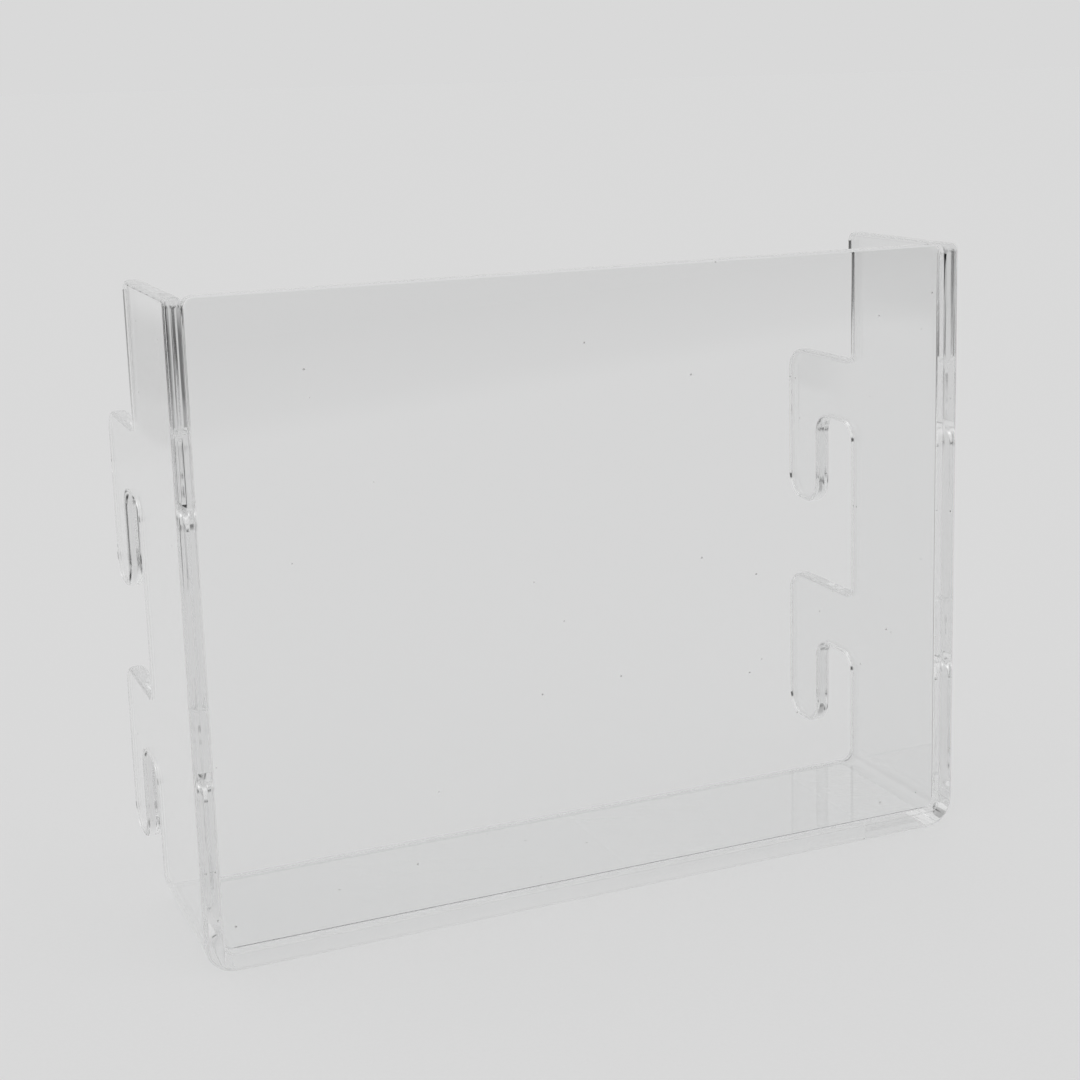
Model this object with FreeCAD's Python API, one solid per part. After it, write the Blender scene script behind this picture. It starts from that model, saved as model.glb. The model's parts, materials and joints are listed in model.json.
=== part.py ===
import FreeCAD, Part
import math
import os

# Clear acrylic magazine pocket that hangs on two horizontal rails by four rear hooks.
# A single sheet is line-bent into a U (left side, floor, right side); a flat front panel
# is let into the front of the U and solvent-cemented round three edges. The back is open.
# Millimetres. +X is the pocket's width, +Y goes to the hooks, +Z is up.
# The origin is the centre of the bounding box in X and Y, at the floor's underside.

# Driving dimensions
WIDTH = 240.0           # across the outside of the two sides
HEIGHT = 185.0          # floor's underside to the top edges
DEPTH = 56.0            # front edge to the rear edge of the sides
SHEET = 5.0             # acrylic sheet
BEND_INNER = 3.5        # inside radius of the two line bends

HOOK_REACH = 41.0       # how far the hooks stand out behind the rear edge
HOOK_DROP = 53.0        # top of a hook to the tip of its finger
SLOT_WIDTH = 21.0       # gap that takes the rail
SLOT_ROOF = 21.5        # top of a hook to the top of its slot
HOOK_TOPS = (62.5, 142.5)   # heights of the lower and the upper hook's top edge

SLOT_RADIUS = 6.0       # corners at the top of a slot
TIP_RADIUS = 8.5        # corners of a finger's tip
SHOULDER_RADIUS = 8.0   # outer top corner of a hook
ROOT_RADIUS = 2.5       # where a hook's top edge meets the rear edge
REAR_TOP_RADIUS = 3.0   # rear top corner of a side
FRONT_TOP_RADIUS = 2.5  # front top corner of a side
PANEL_TOP_RADIUS = 3.0  # top corners of the front panel

GLUE = 0.15             # cement film between the panel's edges and the U
BEAD = 0.8              # cement bead in the corner behind the panel

# Derived sizes
BEND_OUTER = BEND_INNER + SHEET
INNER_HALF = WIDTH / 2 - SHEET
FRONT = -(DEPTH + HOOK_REACH) / 2
PANEL_BACK = FRONT + SHEET


def fillet_points(before, corner, after, radius):
    """Start, middle and end of the arc that rounds a corner of an outline."""
    to_before = FreeCAD.Vector(before - corner).normalize()
    to_after = FreeCAD.Vector(after - corner).normalize()
    half = to_before.getAngle(to_after) / 2
    start = corner + to_before * (radius / math.tan(half))
    end = corner + to_after * (radius / math.tan(half))
    bisector = FreeCAD.Vector(to_before + to_after).normalize()
    centre = corner + bisector * (radius / math.sin(half))
    return start, centre - bisector * radius, end


def outline_edges(corners, closed):
    """Lines and arcs through (point, radius) corners. A radius of 0 keeps a corner sharp."""
    points = [point for point, _ in corners]
    count = len(corners)
    arcs = []
    for i, (point, radius) in enumerate(corners):
        at_end = not closed and i in (0, count - 1)
        if radius > 0 and not at_end:
            arcs.append(fillet_points(points[i - 1], point, points[(i + 1) % count], radius))
        else:
            arcs.append((point, None, point))
    edges = []
    for i in range(count):
        start, middle, end = arcs[i]
        if middle is not None:
            edges.append(Part.Arc(start, middle, end).toShape())
        if i + 1 < count or closed:
            following = arcs[(i + 1) % count][0]
            edges.append(Part.LineSegment(end, following).toShape())
    return edges


def prism(corners, direction):
    """A solid extruded from a closed outline of (point, radius) corners."""
    face = Part.Face(Part.Wire(outline_edges(corners, closed=True)))
    return face.extrude(direction)


def in_side_view(points, x):
    """(y from the front edge, z, radius) corners in the plane of a side."""
    return [(FreeCAD.Vector(x, FRONT + y, z), radius) for y, z, radius in points]


def in_front_view(points, y):
    """(x, z, radius) corners in the plane of the front."""
    return [(FreeCAD.Vector(x, y, z), radius) for x, z, radius in points]


def hook_corners(top):
    """A hook's outline from the slot, round the finger, back to the rear edge."""
    roof = top - SLOT_ROOF
    tip = top - HOOK_DROP
    finger_front = DEPTH + SLOT_WIDTH
    finger_back = DEPTH + HOOK_REACH
    return [
        (DEPTH, roof, SLOT_RADIUS),
        (finger_front, roof, SLOT_RADIUS),
        (finger_front, tip, TIP_RADIUS),
        (finger_back, tip, TIP_RADIUS),
        (finger_back, top, SHOULDER_RADIUS),
        (DEPTH, top, ROOT_RADIUS),
    ]


def side_corners():
    """The outline that both sides are cut to, with the floor's length at the bottom."""
    corners = [(0, 0, 0), (DEPTH, 0, 0)]
    for top in HOOK_TOPS:
        corners += hook_corners(top)
    return corners + [(DEPTH, HEIGHT, REAR_TOP_RADIUS), (0, HEIGHT, FRONT_TOP_RADIUS)]


def pocket_corners(inset, height, top_radius):
    """The inside of the U in front view, drawn in by an inset all round."""
    half = INNER_HALF - inset
    low = SHEET + inset
    radius = BEND_INNER - inset
    return [
        (-half, height, top_radius),
        (-half, low, radius),
        (half, low, radius),
        (half, height, top_radius),
    ]


def bent_shell():
    """Left side, floor and right side: one sheet with two line bends and four hooks."""
    outer_half = WIDTH / 2
    outer = [
        (-outer_half, HEIGHT, 0),
        (-outer_half, 0, BEND_OUTER),
        (outer_half, 0, BEND_OUTER),
        (outer_half, HEIGHT, 0),
    ]
    inner = pocket_corners(0, HEIGHT, 0)
    length = FreeCAD.Vector(0, DEPTH + HOOK_REACH, 0)
    band = prism(in_front_view(outer + inner[::-1], FRONT), length)
    blank = prism(in_side_view(side_corners(), -outer_half), FreeCAD.Vector(WIDTH, 0, 0))
    return band.common(blank).Solids[0]


def front_panel():
    """The flat panel, flush with the front edges of the U and short of it by the glue."""
    corners = pocket_corners(GLUE, HEIGHT, PANEL_TOP_RADIUS)
    return prism(in_front_view(corners, FRONT), FreeCAD.Vector(0, SHEET, 0))


def cement_seam():
    """The cement between panel and U, with the bead it leaves in the corner behind."""
    top = HEIGHT - PANEL_TOP_RADIUS
    through = FreeCAD.Vector(0, SHEET, 0)
    film = prism(in_front_view(pocket_corners(0, top, 0), FRONT), through)
    film = film.cut(prism(in_front_view(pocket_corners(GLUE, top, 0), FRONT), through))
    path = Part.Wire(outline_edges(
        in_front_view(pocket_corners(0, top, 0), PANEL_BACK), closed=False))
    corner = FreeCAD.Vector(-INNER_HALF, PANEL_BACK, top)
    on_panel = corner + FreeCAD.Vector(BEAD, 0, 0)
    on_side = corner + FreeCAD.Vector(0, BEAD, 0)
    hollow = corner + FreeCAD.Vector(BEAD, BEAD, 0)
    middle = hollow - FreeCAD.Vector(1, 1, 0).normalize() * BEAD
    section = Part.Wire([
        Part.LineSegment(corner, on_panel).toShape(),
        Part.Arc(on_panel, middle, on_side).toShape(),
        Part.LineSegment(on_side, corner).toShape(),
    ])
    bead = path.makePipeShell([section], True, True)
    return film.fuse(bead).removeSplitter().Solids[0]


def main():
    os.makedirs("parts", exist_ok=True)
    nodes = {
        "bent_side_and_floor_shell": bent_shell(),
        "front_panel": front_panel(),
        "cement_seam": cement_seam(),
    }
    for name, shape in nodes.items():
        shape.exportStep(f"parts/{name}.step")
        print(f"{name}: {shape.Volume / 1000:.1f} cm3, valid {shape.isValid()}")


main()
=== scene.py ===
import json
import math

import bmesh
import bpy
from mathutils import Matrix, Vector


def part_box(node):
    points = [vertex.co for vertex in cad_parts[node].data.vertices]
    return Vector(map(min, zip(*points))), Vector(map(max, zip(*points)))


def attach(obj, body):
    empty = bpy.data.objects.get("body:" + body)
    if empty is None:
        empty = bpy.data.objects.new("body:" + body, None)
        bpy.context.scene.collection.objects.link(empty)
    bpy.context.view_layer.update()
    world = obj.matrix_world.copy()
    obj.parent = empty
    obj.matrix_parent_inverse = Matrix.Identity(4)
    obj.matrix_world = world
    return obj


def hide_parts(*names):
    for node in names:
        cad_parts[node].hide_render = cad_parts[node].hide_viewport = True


# Clear acrylic magazine pocket that hangs on two rails, standing on a pale studio floor.
# Metres, in the frame of the CAD model: +X is the width, +Y goes to the hooks, +Z is up.

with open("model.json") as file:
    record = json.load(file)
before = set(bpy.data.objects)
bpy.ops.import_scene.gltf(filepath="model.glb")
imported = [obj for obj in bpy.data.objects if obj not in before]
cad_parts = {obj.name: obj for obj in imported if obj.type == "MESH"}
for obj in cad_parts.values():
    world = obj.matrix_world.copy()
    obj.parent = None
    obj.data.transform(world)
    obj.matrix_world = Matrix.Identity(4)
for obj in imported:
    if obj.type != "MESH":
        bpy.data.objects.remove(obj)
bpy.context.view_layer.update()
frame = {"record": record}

# Sizes that come from the frame
SHELL_LOW, SHELL_HIGH = (Vector(corner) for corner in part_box("bent_side_and_floor_shell"))
PANEL_HIGH = Vector(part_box("front_panel")[1])
MOUNTS = {mount["name"]: mount for mount in frame["record"]["mounts"]}
WIDTH = SHELL_HIGH.x - SHELL_LOW.x
HALF = WIDTH / 2
TOP = SHELL_HIGH.z
FRONT = SHELL_LOW.y
HOOK_BACK = SHELL_HIGH.y
PANEL_BACK = PANEL_HIGH.y
SHEET = PANEL_BACK - FRONT
INNER_HALF = HALF - SHEET
GLUE = INNER_HALF - PANEL_HIGH.x
SLOT_MIDDLE = MOUNTS["upper_left_hook_seat"]["pos_m"][1]
SLOT_ROOFS = [MOUNTS[f"{level}_left_hook_seat"]["pos_m"][2] for level in ("lower", "upper")]

# Sizes that repeat the part's own
MM = 0.001
SLOT_WIDTH = 21 * MM
ROOF_TO_TOP = 21.5 * MM
ROOF_TO_TIP = 31.5 * MM
BEND_INNER = 3.5 * MM
BEND_OUTER = BEND_INNER + SHEET
SLOT_RADIUS = 6 * MM
TIP_RADIUS = 8.5 * MM
SHOULDER_RADIUS = 8 * MM
ROOT_RADIUS = 2.5 * MM
REAR_TOP_RADIUS = 3 * MM
FRONT_TOP_RADIUS = 2.5 * MM
PANEL_TOP_RADIUS = 3 * MM
BEAD = 0.8 * MM
REAR_EDGE = SLOT_MIDDLE - SLOT_WIDTH / 2
SLOT_BACK = SLOT_MIDDLE + SLOT_WIDTH / 2
SEAM_TOP = TOP - PANEL_TOP_RADIUS
SEAM_BACK = PANEL_BACK + BEAD

SHELL_ARRIS = 1.2 * MM      # rounding of the flame-polished cut edges of the bent sheet
PANEL_ARRIS = 0.6 * MM      # the same on the panel, less than the bead behind its edges
GROOVE = 0.15 * MM          # rounding along the cemented joint, which leaves a fine groove
ARRIS_STEPS = 5             # facets across a rounded edge
ARC_STEPS = 16              # facets in an arc of an outline
BEAD_STEPS = 6              # facets across the hollow of the cement bead
SHARP = math.radians(30)    # edges that turn more than this are rounded
CLEAR, EDGE, BOND, FLOOR_EDGE = range(4)    # material slots of the pieces


# Outlines

def rounded(corners):
    """Points along a line through (a, b, radius) corners, each turned into an arc."""
    points = []
    for i, (a, b, radius) in enumerate(corners):
        corner = Vector((a, b))
        if radius == 0:
            points.append(corner)
            continue
        to_before = (Vector(corners[i - 1][:2]) - corner).normalized()
        to_after = (Vector(corners[(i + 1) % len(corners)][:2]) - corner).normalized()
        half = to_before.angle(to_after) / 2
        reach = radius / math.tan(half)
        centre = corner + (to_before + to_after).normalized() * (radius / math.sin(half))
        start = corner + to_before * reach - centre
        end = corner + to_after * reach - centre
        turn = start.angle_signed(end)
        for step in range(ARC_STEPS + 1):
            points.append(centre + Matrix.Rotation(-turn * step / ARC_STEPS, 2) @ start)
    return points


def hook_corners(roof):
    """A hook, from its slot round the finger and back to the rear edge of the side."""
    top = roof + ROOF_TO_TOP
    tip = roof - ROOF_TO_TIP
    return [
        (REAR_EDGE, roof, SLOT_RADIUS),
        (SLOT_BACK, roof, SLOT_RADIUS),
        (SLOT_BACK, tip, TIP_RADIUS),
        (HOOK_BACK, tip, TIP_RADIUS),
        (HOOK_BACK, top, SHOULDER_RADIUS),
        (REAR_EDGE, top, ROOT_RADIUS),
    ]


def rear_outline():
    """(y, z) of a side's edge from the bend up the back and along the top to the seam."""
    corners = [(REAR_EDGE, BEND_OUTER, 0)]
    for roof in SLOT_ROOFS:
        corners += hook_corners(roof)
    corners += [(REAR_EDGE, TOP, REAR_TOP_RADIUS), (SEAM_BACK, TOP, 0)]
    return rounded(corners)


def front_outline():
    """(y, z) of a side's edge from the seam over the front corner to the seam's end."""
    corners = [(SEAM_BACK, TOP, 0), (FRONT, TOP, FRONT_TOP_RADIUS), (FRONT, SEAM_TOP, 0)]
    return rounded(corners)


def pocket_path(inset, top=SEAM_TOP):
    """(x, z) down the left side, along the floor and up the right side of the pocket."""
    half = INNER_HALF - inset
    low = SHEET + inset
    radius = BEND_INNER - inset
    return rounded([(-half, top, 0), (-half, low, radius), (half, low, radius), (half, top, 0)])


def outer_path():
    """(x, z) of the underside of the U, in step with the pocket's path."""
    return rounded([(-HALF, SEAM_TOP, 0), (-HALF, 0, BEND_OUTER), (HALF, 0, BEND_OUTER),
                    (HALF, SEAM_TOP, 0)])


# Meshes

class Sheet:
    """A closed mesh put together from polygons that share their corners."""

    def __init__(self, arris=0):
        """arris is the rounding of the sharp edges, or 0 to keep them sharp."""
        self.mesh = bmesh.new()
        self.corners = {}
        self.arris = arris

    def corner(self, point):
        key = tuple(round(value * 1e7) for value in point)
        if key not in self.corners:
            self.corners[key] = self.mesh.verts.new(point)
        return self.corners[key]

    def face(self, points, slot):
        face = self.mesh.faces.new([self.corner(point) for point in points])
        face.material_index = slot
        face.smooth = True

    def strip(self, line_a, line_b, slot):
        """Quads between two lines of as many points."""
        for i in range(len(line_a) - 1):
            self.face([line_a[i], line_a[i + 1], line_b[i + 1], line_b[i]], slot)

    def mark_sharp_edges(self):
        """Bevel weights: full on a free edge, little along the joint and none inside it."""
        weights = self.mesh.edges.layers.float.new("bevel_weight_edge")
        for edge in self.mesh.edges:
            bonded = sum(face.material_index == BOND for face in edge.link_faces)
            if edge.calc_face_angle() > SHARP and bonded < 2:
                edge[weights] = GROOVE / self.arris if bonded else 1.0

    def round_sharp_edges(self, piece):
        """Round the weighted edges. Clamping would thin every arris to suit the arcs' facets."""
        polish = piece.modifiers.new("polished edges", "BEVEL")
        polish.limit_method = "WEIGHT"
        polish.width = self.arris
        polish.segments = ARRIS_STEPS
        polish.use_clamp_overlap = False
        polish.material = EDGE

    def finish(self, name):
        """Turn the faces outwards and make the object, with its sharp edges polished."""
        bmesh.ops.recalc_face_normals(self.mesh, faces=self.mesh.faces[:])
        if self.arris:
            self.mark_sharp_edges()
        data = bpy.data.meshes.new(name)
        self.mesh.to_mesh(data)
        self.mesh.free()
        piece = bpy.data.objects.new(name, data)
        bpy.context.scene.collection.objects.link(piece)
        if self.arris:
            self.round_sharp_edges(piece)
        piece.modifiers.new("flat faces stay flat", "WEIGHTED_NORMAL").keep_sharp = True
        return piece


def on_side(outline, x):
    return [Vector((x, y, z)) for y, z in outline]


def on_path(path, y):
    return [Vector((x, y, z)) for x, z in path]


def bent_sheet():
    """Left side, floor and right side in one sheet, with the hooks on its rear edges."""
    sheet = Sheet(SHELL_ARRIS)
    rear, front = rear_outline(), front_outline()
    seam_line = [Vector((SEAM_BACK, z)) for z in (TOP, SEAM_TOP, BEND_OUTER)]
    bottom = [Vector((FRONT, z)) for z in (SEAM_TOP, BEND_OUTER)]
    for side in (-1, 1):
        outer, inner = side * HALF, side * INNER_HALF
        edge = rear + front[1:] + bottom[1:]
        sheet.face(on_side(edge + seam_line[2:], outer), CLEAR)
        sheet.face(on_side(rear + seam_line[1:], inner), CLEAR)
        sheet.face(on_side(front + seam_line[1:2], inner), CLEAR)
        sheet.face(on_side([bottom[0], bottom[1], seam_line[2], seam_line[1]], inner), BOND)
        sheet.strip(on_side(edge, outer), on_side(edge, inner), EDGE)
    inside, outside = pocket_path(0)[1:-1], outer_path()[1:-1]
    for y in (FRONT, REAR_EDGE):
        sheet.strip(on_path(inside, y), on_path(outside, y), FLOOR_EDGE)
    sheet.strip(on_path(inside, FRONT), on_path(inside, SEAM_BACK), BOND)
    sheet.strip(on_path(inside, SEAM_BACK), on_path(inside, REAR_EDGE), CLEAR)
    sheet.strip(on_path(outside, FRONT), on_path(outside, SEAM_BACK), CLEAR)
    sheet.strip(on_path(outside, SEAM_BACK), on_path(outside, REAR_EDGE), CLEAR)
    return sheet.finish("bent_side_and_floor_sheet")


def panel_sheet():
    """The flat front, with bonded faces where the cement wets it."""
    sheet = Sheet(PANEL_ARRIS)
    half = INNER_HALF - GLUE
    over_top = rounded([(half, SEAM_TOP, 0), (half, TOP, PANEL_TOP_RADIUS),
                        (-half, TOP, PANEL_TOP_RADIUS), (-half, SEAM_TOP, 0)])[1:-1]
    bonded, bead = pocket_path(GLUE), pocket_path(BEAD)
    sheet.face(on_path(bonded + over_top[1:-1], FRONT), CLEAR)
    sheet.face(on_path(bead + over_top, PANEL_BACK), CLEAR)
    sheet.strip(on_path(bonded, PANEL_BACK), on_path(bead, PANEL_BACK), BOND)
    sheet.strip(on_path(bonded, FRONT), on_path(bonded, PANEL_BACK), BOND)
    sheet.strip(on_path(over_top, FRONT), on_path(over_top, PANEL_BACK), EDGE)
    return sheet.finish("front_panel_sheet")


def seam():
    """The cement: a film at the bottom of the fine groove in front, a hollow bead behind."""
    sheet = Sheet()
    groove = FRONT + GROOVE
    turns = [math.radians(90 * step / BEAD_STEPS) for step in range(BEAD_STEPS + 1)]
    hollow = [(BEAD * (1 - math.sin(turn)), PANEL_BACK + BEAD * (1 - math.cos(turn)))
              for turn in turns]
    section = [(0, groove), (GLUE, groove), (GLUE, PANEL_BACK)] + hollow
    slots = [CLEAR, BOND, BOND] + [CLEAR] * BEAD_STEPS + [BOND]
    lines = [on_path(pocket_path(inset), y) for inset, y in section]
    for i, slot in enumerate(slots):
        sheet.strip(lines[i], lines[(i + 1) % len(lines)], slot)
    for end in (0, -1):
        sheet.face([line[end] for line in lines], CLEAR)
    return sheet.finish("cement_bead")


# Materials

ACRYLIC_IOR = 1.49
SMEAR_SCALE = 22            # smears about 45 mm across
DUST_SCALE = 80             # the dust's pattern has cells of 12.5 mm, few of them with a speck
SPECK = 0.03                # radius of a speck, in those cells
DUST_GREY = (0.55, 0.55, 0.54, 1)
LET_THROUGH = (0.965, 0.967, 0.967, 1)      # the part of the soft light that passes a surface
WAVE_HEIGHT = 0.2 * MM      # of the bump that a ripple's strength is a part of
GRAIN_SCALE = 900           # the floor's grain, about 1 mm
CLOTH_GREY = (0.03, 0.03, 0.03, 1)


def new_material(name):
    material = bpy.data.materials.new(name)
    material.use_nodes = True
    nodes = material.node_tree.nodes
    nodes.clear()
    return material, nodes, material.node_tree.links


def ripple(nodes, links, place, strength, fineness):
    """Normals of a surface that isn't quite flat."""
    stretch = nodes.new("ShaderNodeMapping")
    stretch.inputs["Scale"].default_value = fineness
    waves = nodes.new("ShaderNodeTexNoise")
    waves.inputs["Scale"].default_value = 1
    waves.inputs["Detail"].default_value = 2
    bump = nodes.new("ShaderNodeBump")
    bump.inputs["Strength"].default_value = strength
    bump.inputs["Distance"].default_value = WAVE_HEIGHT
    links.new(place.outputs["Object"], stretch.inputs["Vector"])
    links.new(stretch.outputs["Vector"], waves.inputs["Vector"])
    links.new(waves.outputs["Fac"], bump.inputs["Height"])
    return bump.outputs["Normal"]


def smears(nodes, links, place, most):
    """Roughness: none on clean acrylic, and up to most where hands and cloths have been."""
    cloud = nodes.new("ShaderNodeTexNoise")
    cloud.inputs["Scale"].default_value = SMEAR_SCALE
    cloud.inputs["Detail"].default_value = 5
    rough = nodes.new("ShaderNodeMapRange")
    rough.inputs["From Min"].default_value = 0.45
    rough.inputs["From Max"].default_value = 0.75
    rough.inputs["To Min"].default_value = 0.0
    rough.inputs["To Max"].default_value = most
    links.new(place.outputs["Object"], cloud.inputs["Vector"])
    links.new(cloud.outputs["Fac"], rough.inputs["Value"])
    return rough.outputs["Result"]


def with_dust(nodes, links, place, surface):
    """The surface with grey specks on it, solid in the middle and soft at their rims."""
    dust = nodes.new("ShaderNodeBsdfDiffuse")
    dust.inputs["Color"].default_value = DUST_GREY
    grains = nodes.new("ShaderNodeTexVoronoi")
    grains.inputs["Scale"].default_value = DUST_SCALE
    cover = nodes.new("ShaderNodeMapRange")
    cover.inputs["From Min"].default_value = SPECK
    cover.inputs["From Max"].default_value = SPECK * 0.6
    dusty = nodes.new("ShaderNodeMixShader")
    links.new(place.outputs["Object"], grains.inputs["Vector"])
    links.new(grains.outputs["Distance"], cover.inputs["Value"])
    links.new(cover.outputs["Result"], dusty.inputs["Fac"])
    links.new(surface, dusty.inputs[1])
    links.new(dust.outputs["BSDF"], dusty.inputs[2])
    return dusty.outputs["Shader"]


def with_soft_light_passing(nodes, links, surface):
    """The surface, which lets shadow rays and diffuse rays straight on, a little dimmed."""
    passes = nodes.new("ShaderNodeBsdfTransparent")
    passes.inputs["Color"].default_value = LET_THROUGH
    path = nodes.new("ShaderNodeLightPath")
    either = nodes.new("ShaderNodeMath")
    either.operation = "MAXIMUM"
    mix = nodes.new("ShaderNodeMixShader")
    links.new(path.outputs["Is Shadow Ray"], either.inputs[0])
    links.new(path.outputs["Is Diffuse Ray"], either.inputs[1])
    links.new(either.outputs["Value"], mix.inputs["Fac"])
    links.new(surface, mix.inputs[1])
    links.new(passes.outputs["BSDF"], mix.inputs[2])
    return mix.outputs["Shader"]


def acrylic(name, tint, roughness, wave, fineness):
    """Clear cast acrylic: faint ripple, smears that catch the light, and specks of dust.

    fineness is the ripple's, along X, Y and Z. On a cut edge it is fine across the sheet
    and long along the edge, as the cutter and the flame leave it.
    """
    material, nodes, links = new_material(name)
    place = nodes.new("ShaderNodeTexCoord")
    clear = nodes.new("ShaderNodeBsdfPrincipled")
    clear.inputs["Base Color"].default_value = (tint, tint + 0.002, tint + 0.002, 1)
    clear.inputs["IOR"].default_value = ACRYLIC_IOR
    clear.inputs["Transmission Weight"].default_value = 1.0
    out = nodes.new("ShaderNodeOutputMaterial")
    links.new(ripple(nodes, links, place, wave, fineness), clear.inputs["Normal"])
    links.new(smears(nodes, links, place, roughness), clear.inputs["Roughness"])
    dusty = with_dust(nodes, links, place, clear.outputs["BSDF"])
    links.new(with_soft_light_passing(nodes, links, dusty), out.inputs["Surface"])
    return material


def bond():
    """Solvent-welded faces: the two sheets are one there, so light goes straight on."""
    material, nodes, links = new_material("solvent_bond")
    passes = nodes.new("ShaderNodeBsdfTransparent")
    out = nodes.new("ShaderNodeOutputMaterial")
    links.new(passes.outputs["BSDF"], out.inputs["Surface"])
    return material


def pale_floor():
    """Matte and pale, with a grain just too faint to be a pattern."""
    material, nodes, links = new_material("pale_floor")
    place = nodes.new("ShaderNodeTexCoord")
    grain = nodes.new("ShaderNodeTexNoise")
    grain.inputs["Scale"].default_value = GRAIN_SCALE
    tone = nodes.new("ShaderNodeMapRange")
    tone.inputs["To Min"].default_value = 0.79
    tone.inputs["To Max"].default_value = 0.81
    matte = nodes.new("ShaderNodeBsdfDiffuse")
    out = nodes.new("ShaderNodeOutputMaterial")
    links.new(place.outputs["Object"], grain.inputs["Vector"])
    links.new(grain.outputs["Fac"], tone.inputs["Value"])
    links.new(tone.outputs["Result"], matte.inputs["Color"])
    links.new(matte.outputs["BSDF"], out.inputs["Surface"])
    return material


def dark_cloth(name, through_only):
    """Dark by its own cover value, and only for light that the acrylic has reflected.

    Light that goes straight through the acrylic passes the cloth as if it weren't there.
    With through_only, so does what a sheet's near surface reflects. A ray counts its
    reflections and its passages through a surface; one of each is enough.
    """
    material, nodes, links = new_material(name)
    cover = nodes.new("ShaderNodeAttribute")
    cover.attribute_name = "cover"
    path = nodes.new("ShaderNodeLightPath")
    counted = nodes.new("ShaderNodeMath")
    counted.operation = "MINIMUM"
    counted.inputs[1].default_value = 1
    once = nodes.new("ShaderNodeMath")
    once.operation = "MINIMUM"
    once.inputs[1].default_value = 1
    seen = nodes.new("ShaderNodeMath")
    seen.operation = "MULTIPLY"
    clear = nodes.new("ShaderNodeBsdfTransparent")
    dark = nodes.new("ShaderNodeEmission")
    dark.inputs["Color"].default_value = CLOTH_GREY
    mix = nodes.new("ShaderNodeMixShader")
    out = nodes.new("ShaderNodeOutputMaterial")
    links.new(path.outputs["Glossy Depth"], counted.inputs[0])
    if through_only:
        links.new(path.outputs["Transmission Depth"], counted.inputs[1])
    links.new(counted.outputs["Value"], once.inputs[0])
    links.new(once.outputs["Value"], seen.inputs[0])
    links.new(cover.outputs["Fac"], seen.inputs[1])
    links.new(seen.outputs["Value"], mix.inputs["Fac"])
    links.new(clear.outputs["BSDF"], mix.inputs[1])
    links.new(dark.outputs["Emission"], mix.inputs[2])
    links.new(mix.outputs["Shader"], out.inputs["Surface"])
    return material


# Studio

PALE = 0.694                # what the floor and the horizon send to the camera
FLOOR_RADIUS = 60.0
FLOOR_CORNERS = 72
CLOTH_COLUMNS = 24
FADE_COLUMNS = 3            # over which a cloth fades out at each end
FAR_COVER = 0.35            # the far cloth is thin, and most light goes through it
SKY_LOW = math.radians(4)   # the sky brightens from here
SKY_HIGH = math.radians(35)     # to here
OVERHEAD = PALE * 1.15      # what the sky sends from there up
BOUNCES = 96                # light that a sheet pipes along meets its faces many times


def floor():
    """A round of floor, wide enough to meet the sky at the horizon."""
    turns = [math.radians(360 * step / FLOOR_CORNERS) for step in range(FLOOR_CORNERS)]
    ring = [(FLOOR_RADIUS * math.cos(turn), FLOOR_RADIUS * math.sin(turn), 0) for turn in turns]
    data = bpy.data.meshes.new("floor")
    data.from_pydata(ring, [], [range(len(ring))])
    data.materials.append(pale_floor())
    ground = bpy.data.objects.new("floor", data)
    bpy.context.scene.collection.objects.link(ground)


def fence(name, start, end, rows, through_only=False):
    """Dark cloth standing on or over the table, seen only in the acrylic.

    rows are (height, cover). It fades out at its ends and borders, so that its
    reflection has no hard outline.
    """
    points, covers, faces = [], [], []
    for column in range(CLOTH_COLUMNS + 1):
        foot = Vector(start).lerp(Vector(end), column / CLOTH_COLUMNS)
        fade = min(1.0, column / FADE_COLUMNS, (CLOTH_COLUMNS - column) / FADE_COLUMNS)
        for height, cover in rows:
            points.append((foot.x, foot.y, height))
            covers.append(cover * fade)
    for column in range(CLOTH_COLUMNS):
        for row in range(len(rows) - 1):
            corner = column * len(rows) + row
            faces.append((corner, corner + len(rows), corner + len(rows) + 1, corner + 1))
    data = bpy.data.meshes.new(name)
    data.from_pydata(points, [], faces)
    data.attributes.new("cover", "FLOAT", "POINT").data.foreach_set("value", covers)
    data.materials.append(dark_cloth(f"cloth_of_{name}", through_only))
    cloth = bpy.data.objects.new(name, data)
    bpy.context.scene.collection.objects.link(cloth)
    cloth.visible_camera = False
    cloth.visible_diffuse = False
    cloth.visible_shadow = False


def fences():
    """What makes clear edges show: the room's dark sides, low round the pale table."""
    tall = [(0.0, 0.0), (0.02, 0.5), (0.07, 1.0), (0.40, 1.0), (0.55, 0.0)]
    tall_and_thin = [(height, cover * FAR_COVER) for height, cover in tall]
    low = [(0.0, 0.0), (0.02, 1.0), (0.035, 1.0), (0.07, 0.0)]
    raised = [(0.10, 0.0), (0.14, 1.0), (0.16, 1.0), (0.21, 0.0)]
    behind = [(0.02, 0.0), (0.035, 0.4), (0.055, 0.45), (0.065, 0.75), (0.10, 0.75), (0.12, 0.0)]
    beside = [(0.005, 0.0), (0.012, 0.35), (0.035, 0.35), (0.045, 0.5), (0.085, 0.5), (0.10, 0.0)]
    near = [(0.02, 0.0), (0.035, 0.8), (0.09, 0.8), (0.10, 0.0)]
    fence("fence_front", (-0.60, -0.54), (1.10, -1.20), tall)
    fence("fence_far_left", (-0.53, 0.70), (-0.53, 1.50), tall_and_thin)
    fence("fence_right", (0.75, -1.10), (0.75, 0.70), low)
    fence("fence_left", (-0.21, -0.20), (-0.21, 0.35), raised)
    fence("fence_behind", (-0.09, 0.55), (0.09, 0.55), behind, through_only=True)
    fence("fence_beside", (-0.255, 0.61), (-0.255, 1.00), beside, through_only=True)
    fence("fence_near_left", (-0.24, 0.22), (-0.24, 0.46), near, through_only=True)


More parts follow.
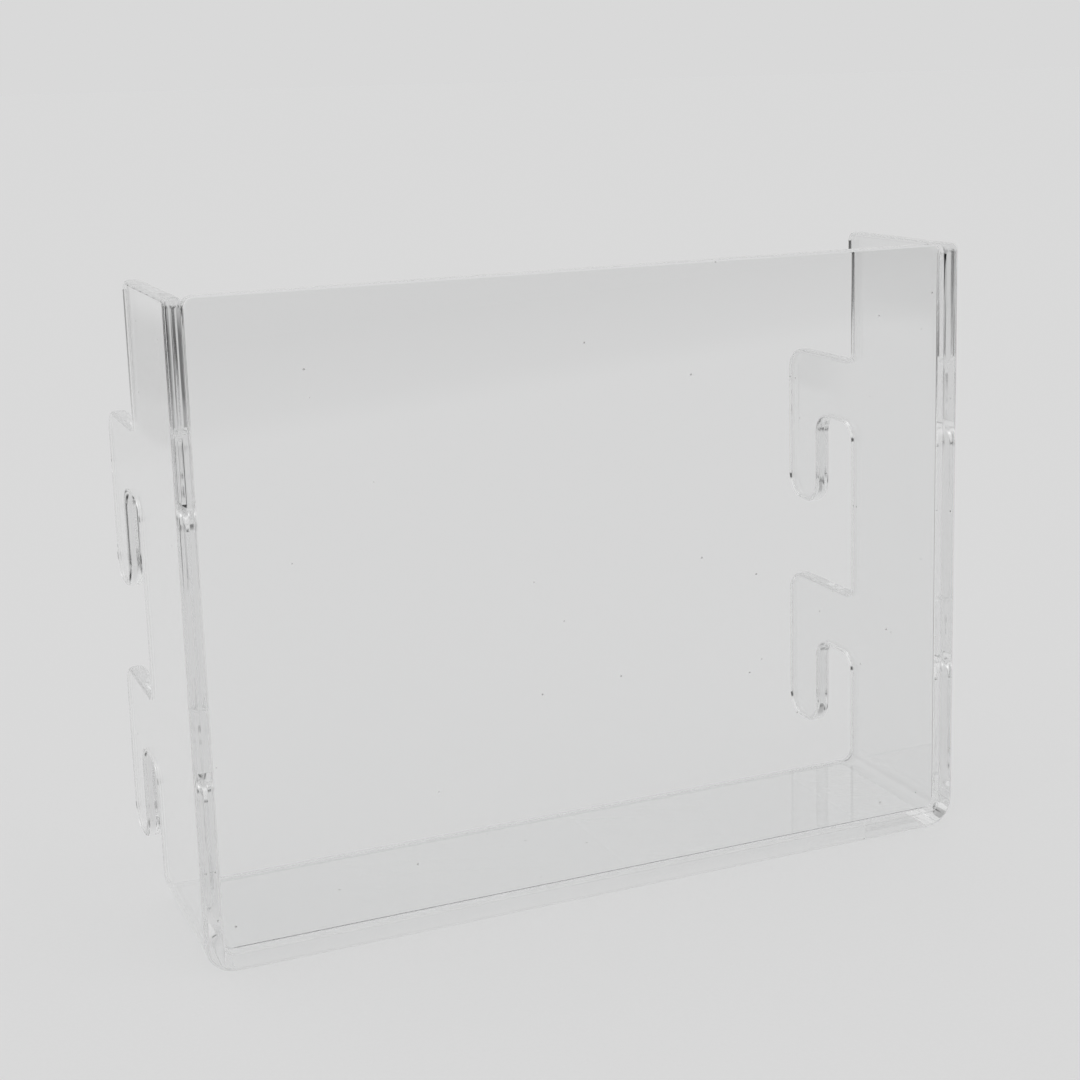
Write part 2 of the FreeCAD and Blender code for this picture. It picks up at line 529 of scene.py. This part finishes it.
def sky():
    """A pale room: as bright as the floor at the horizon, brighter overhead."""
    world = bpy.data.worlds.new("pale_room")
    world.use_nodes = True
    nodes, links = world.node_tree.nodes, world.node_tree.links
    nodes.clear()
    place = nodes.new("ShaderNodeTexCoord")
    split = nodes.new("ShaderNodeSeparateXYZ")
    rise = nodes.new("ShaderNodeMapRange")
    rise.interpolation_type = "SMOOTHSTEP"
    rise.inputs["From Min"].default_value = math.sin(SKY_LOW)
    rise.inputs["From Max"].default_value = math.sin(SKY_HIGH)
    rise.inputs["To Min"].default_value = PALE
    rise.inputs["To Max"].default_value = OVERHEAD
    back = nodes.new("ShaderNodeBackground")
    out = nodes.new("ShaderNodeOutputWorld")
    links.new(place.outputs["Generated"], split.inputs["Vector"])
    links.new(split.outputs["Z"], rise.inputs["Value"])
    links.new(rise.outputs["Result"], back.inputs["Color"])
    links.new(back.outputs["Background"], out.inputs["Surface"])
    bpy.context.scene.world = world


def soft_sun():
    """One large soft light overhead, a little to the left and behind."""
    data = bpy.data.lights.new("soft_overhead", "SUN")
    data.angle = math.radians(50)
    data.energy = 0.28
    sun = bpy.data.objects.new("soft_overhead", data)
    sun.rotation_euler = (math.radians(-12), math.radians(-10), 0)
    bpy.context.scene.collection.objects.link(sun)


CAMERA_YAW = math.radians(23.18)
CAMERA_PITCH = math.radians(11.0)
CAMERA_ROLL = math.radians(-1.5)
CAMERA_DISTANCE = 2.2388    # in widths of the pocket, as are the next two
AIM_HEIGHT = 0.5663
AIM_ASIDE = -0.0313
LENS = 63.57
SHIFT_ACROSS = -0.0306
SHIFT_UP = -0.0898


def camera():
    """A plain camera in front, to the left and a little above, that looks slightly down."""
    level = math.cos(CAMERA_PITCH)
    ahead = Vector((math.sin(CAMERA_YAW) * level, math.cos(CAMERA_YAW) * level,
                    -math.sin(CAMERA_PITCH)))
    right = Vector((math.cos(CAMERA_YAW), -math.sin(CAMERA_YAW), 0))
    up = right.cross(ahead)
    target = Vector((0, FRONT, AIM_HEIGHT * WIDTH)) + right * AIM_ASIDE * WIDTH
    place = target - ahead * CAMERA_DISTANCE * WIDTH
    turned_right = right * math.cos(CAMERA_ROLL) + up * math.sin(CAMERA_ROLL)
    turned_up = up * math.cos(CAMERA_ROLL) - right * math.sin(CAMERA_ROLL)
    data = bpy.data.cameras.new("camera")
    data.sensor_width = 36
    data.lens = LENS
    data.shift_x = SHIFT_ACROSS
    data.shift_y = SHIFT_UP
    data.clip_start = 0.01
    data.clip_end = 200
    view = bpy.data.objects.new("camera", data)
    axes = Matrix((turned_right, turned_up, -ahead)).transposed().to_4x4()
    view.matrix_world = Matrix.Translation(place) @ axes
    bpy.context.scene.collection.objects.link(view)
    bpy.context.scene.camera = view


def main():
    clear = acrylic("clear_acrylic", tint=0.96, roughness=0.04, wave=0.02, fineness=(14, 14, 14))
    side_edge = acrylic("acrylic_side_edge", tint=0.86, roughness=0.05, wave=0.1, fineness=(400, 30, 15))
    floor_edge = acrylic("acrylic_floor_edge", tint=0.93, roughness=0.05, wave=0.1, fineness=(30, 30, 400))
    panel_edge = acrylic("acrylic_panel_edge", tint=0.97, roughness=0.05, wave=0.1, fineness=(30, 400, 30))
    cement = acrylic("solvent_cement", tint=0.96, roughness=0.08, wave=0.2, fineness=(300, 300, 300))
    bonded = bond()
    pieces = [
        (bent_sheet(), "bent_side_and_floor_shell", "clear_acrylic",
         (clear, side_edge, bonded, floor_edge)),
        (panel_sheet(), "front_panel", "clear_acrylic", (clear, panel_edge, bonded)),
        (seam(), "cement_seam", "solvent_cement", (cement, cement, bonded)),
    ]
    for piece, node, slot, materials in pieces:
        for material in materials:
            piece.data.materials.append(material)
        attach(piece, "root")
        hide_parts(node)
    floor()
    sky()
    soft_sun()
    fences()
    camera()
    scene = bpy.context.scene
    scene.view_settings.view_transform = "Standard"
    scene.cycles.max_bounces = BOUNCES
    scene.cycles.transmission_bounces = BOUNCES
    scene.cycles.glossy_bounces = BOUNCES
    scene.cycles.transparent_max_bounces = BOUNCES


main()
